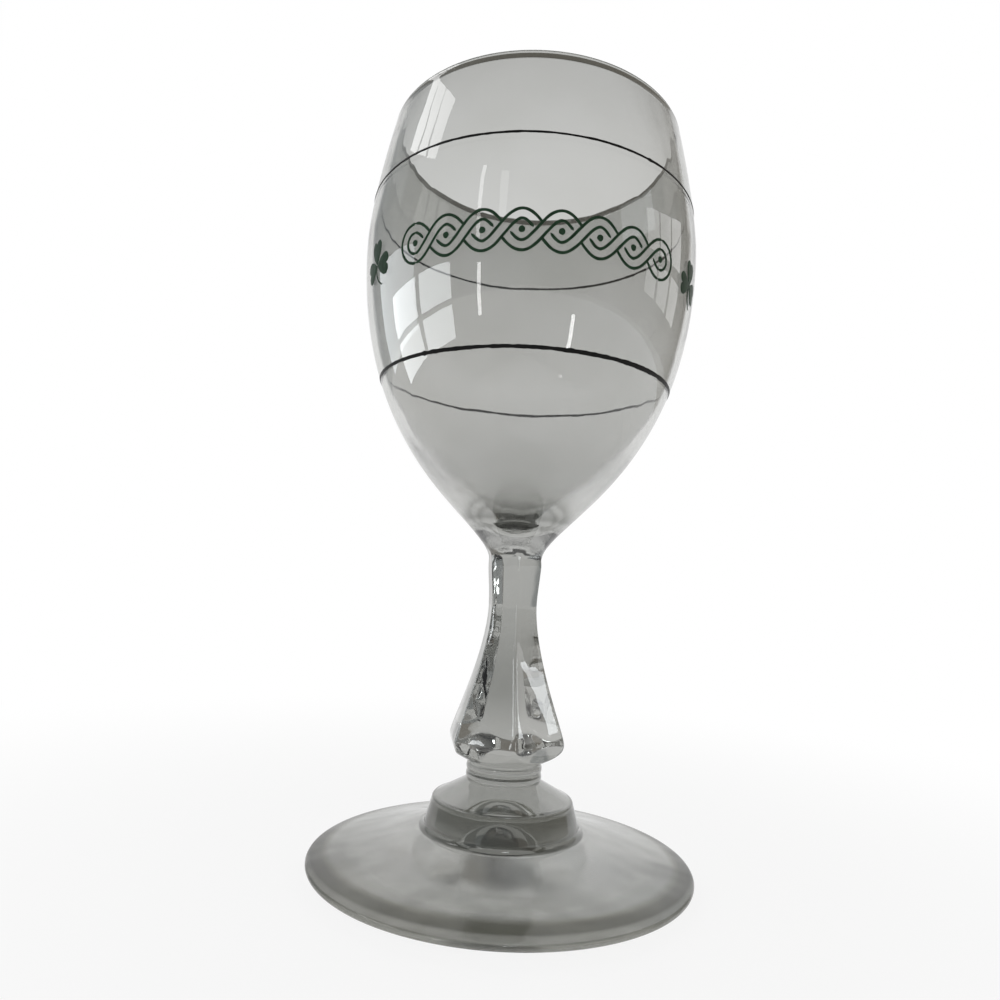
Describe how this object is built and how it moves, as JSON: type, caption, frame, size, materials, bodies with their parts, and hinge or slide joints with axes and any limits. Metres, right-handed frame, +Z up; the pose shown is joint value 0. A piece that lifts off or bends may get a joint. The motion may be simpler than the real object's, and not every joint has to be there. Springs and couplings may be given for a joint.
{
  "type": "irish coffee glass",
  "caption": "Footed glass for hot drinks: thin tulip bowl on a faceted hexagonal stem with a knop, a ringed collar and a stepped foot; fired lines, a twist and shamrocks on the bowl",
  "frame": {"origin": "middle of the foot, on the plane the glass stands on", "axes": "+Z up along the glass's axis, -Y the front, with the middle of the printed twist 2.7 degrees to the right of it"},
  "size_m": [0.07, 0.07, 0.142],
  "materials": {
    "glass": "clear soda-lime glass, fire-polished, very faintly grey-green in the thick parts",
    "black_enamel": "fired black glass enamel, glossy",
    "green_enamel": "fired dark green glass enamel, glossy"
  },
  "bodies": {
    "root": {"foot": "glass", "collar": "glass", "stem": "glass", "bowl": "glass", "upper_line": "black_enamel", "lower_line": "black_enamel", "twist_strand_a": "green_enamel", "twist_strand_b": "green_enamel", "twist_dots": "green_enamel", "shamrock_left": "green_enamel", "shamrock_right": "green_enamel"}
  },
  "joints": []
}
